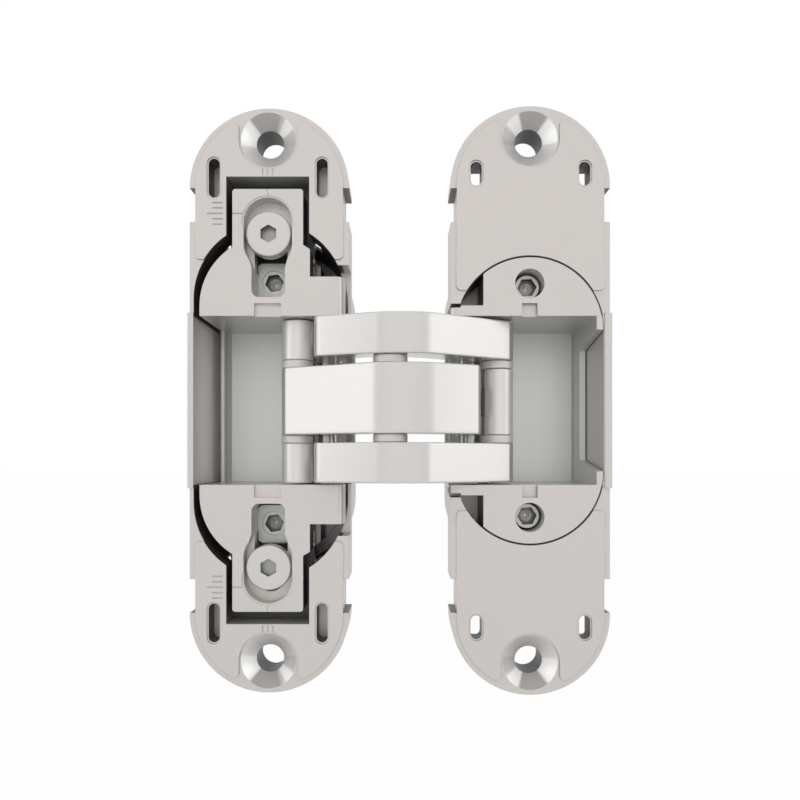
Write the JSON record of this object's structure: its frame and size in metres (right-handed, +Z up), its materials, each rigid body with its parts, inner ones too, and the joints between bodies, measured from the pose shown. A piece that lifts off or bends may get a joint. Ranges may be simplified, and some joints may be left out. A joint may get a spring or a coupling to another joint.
{
  "type": "concealed door hinge",
  "caption": "Concealed door hinge shown open flat: two recessed stadium housings, screw-adjustable carriers, and crossing arms on vertical pins that fold into the pockets.",
  "frame": {"origin": "middle of the frame side's two-screw line, on the plane of the end plates' backs", "axes": "+X towards the door half, +Y into the pockets (away from the viewer), +Z up along the plates"},
  "size_m": [0.0809, 0.0345, 0.1124],
  "materials": {
    "housing_metal": "satin grey die-cast",
    "arm_metal": "smooth semi-gloss pale grey",
    "link_metal": "satin pale grey",
    "pin_steel": "satin",
    "washer": "matt",
    "steel": "dark zinc grey"
  },
  "bodies": {
    "frame_housing": {"frame_housing": "housing_metal"},
    "depth_slide": {"clamp_plate_upper": "steel", "clamp_plate_lower": "steel"},
    "frame_carrier": {"frame_carrier": "housing_metal", "frame_fixed_pin": "pin_steel", "frame_link_pin": "pin_steel"},
    "clamp_screw_upper": {"clamp_screw_upper": "pin_steel"},
    "clamp_screw_lower": {"clamp_screw_lower": "pin_steel"},
    "depth_screw_upper": {"depth_screw_upper": "steel"},
    "depth_screw_lower": {"depth_screw_lower": "steel"},
    "fork_arm": {"fork_arm_upper": "arm_metal", "fork_arm_lower": "arm_metal", "centre_pin": "pin_steel", "door_front_pin": "pin_steel", "centre_washer_upper": "washer", "centre_washer_lower": "washer", "door_washer_upper": "washer", "door_washer_lower": "washer"},
    "middle_arm": {"middle_arm": "arm_metal", "frame_front_pin": "pin_steel", "frame_washer_upper": "washer", "frame_washer_lower": "washer"},
    "frame_link": {"frame_link_upper": "link_metal", "frame_link_lower": "link_metal"},
    "door_carrier": {"door_carrier": "housing_metal", "door_fixed_pin": "pin_steel", "door_link_pin": "pin_steel"},
    "door_link": {"door_link": "link_metal"},
    "door_housing": {"door_housing": "housing_metal"},
    "door_screw_upper": {"door_screw_upper": "steel"},
    "door_screw_lower": {"door_screw_lower": "steel"}
  },
  "joints": [
    {"name": "depth_adjust", "type": "slide", "parent": "frame_housing", "child": "depth_slide", "axis": [1, 0, 0], "range_m": [-0.001, 0.001]},
    {"name": "height_adjust", "type": "slide", "parent": "depth_slide", "child": "frame_carrier", "axis": [0, 0, 1], "range_m": [-0.002, 0.002]},
    {"name": "swing", "type": "hinge", "parent": "frame_carrier", "child": "fork_arm", "pos_m": [0.01023, -0.00059, 0], "axis": [0, 0, 1], "range_deg": [-100.6, 0]},
    {"name": "centre_fold", "type": "hinge", "parent": "fork_arm", "child": "middle_arm", "pos_m": [0.02332, -0.01455, 0], "axis": [0, 0, 1], "range_deg": [0, 20.61]},
    {"name": "door_swing", "type": "hinge", "parent": "middle_arm", "child": "door_carrier", "pos_m": [0.03947, -0.00032, 0], "axis": [0, 0, 1], "range_deg": [-100.01, 0]},
    {"name": "frame_link_swing", "type": "hinge", "parent": "frame_carrier", "child": "frame_link", "pos_m": [0.00679, 0.00349, 0], "axis": [0, 0, 1], "range_deg": [-117.01, 0]},
    {"name": "door_link_swing", "type": "hinge", "parent": "door_carrier", "child": "door_link", "pos_m": [0.04306, 0.00415, 0], "axis": [0, 0, 1], "range_deg": [0, 113.11]},
    {"name": "side_adjust", "type": "slide", "parent": "door_carrier", "child": "door_housing", "axis": [0, 1, 0], "range_m": [-0.0015, 0.0015]},
    {"name": "clamp_screw_turn_upper", "type": "hinge", "parent": "depth_slide", "child": "clamp_screw_upper", "pos_m": [-0.0001, -0.0104, 0.032], "axis": [0, 1, 0], "range_deg": [0, 360]},
    {"name": "depth_screw_turn_upper", "type": "hinge", "parent": "depth_slide", "child": "depth_screw_upper", "pos_m": [0, -0.0104, 0.024], "axis": [0, 1, 0], "range_deg": [-90, 90]},
    {"name": "door_screw_turn_upper", "type": "hinge", "parent": "door_carrier", "child": "door_screw_upper", "pos_m": [0.0499, -0.0104, 0.0223], "axis": [0, 1, 0], "range_deg": [-677, 677]},
    {"name": "clamp_screw_turn_lower", "type": "hinge", "parent": "depth_slide", "child": "clamp_screw_lower", "pos_m": [-0.0001, -0.0104, -0.032], "axis": [0, 1, 0], "range_deg": [0, 360]},
    {"name": "depth_screw_turn_lower", "type": "hinge", "parent": "depth_slide", "child": "depth_screw_lower", "pos_m": [0, -0.0104, -0.024], "axis": [0, 1, 0], "range_deg": [-90, 90]},
    {"name": "door_screw_turn_lower", "type": "hinge", "parent": "door_carrier", "child": "door_screw_lower", "pos_m": [0.0499, -0.0104, -0.0223], "axis": [0, 1, 0], "range_deg": [-677, 677]}
  ],
  "couplings": [
    {"joint": "centre_fold", "follows": "swing", "ratio": -0.20477},
    {"joint": "door_swing", "follows": "swing", "ratio": 0.99404},
    {"joint": "frame_link_swing", "follows": "swing", "ratio": 1.163},
    {"joint": "door_link_swing", "follows": "swing", "ratio": -1.1243},
    {"joint": "depth_screw_turn_upper", "follows": "depth_adjust", "rad_per_m": 1500},
    {"joint": "door_screw_turn_upper", "follows": "side_adjust", "rad_per_m": 7854},
    {"joint": "depth_screw_turn_lower", "follows": "depth_adjust", "rad_per_m": 1500},
    {"joint": "door_screw_turn_lower", "follows": "side_adjust", "rad_per_m": 7854}
  ]
}
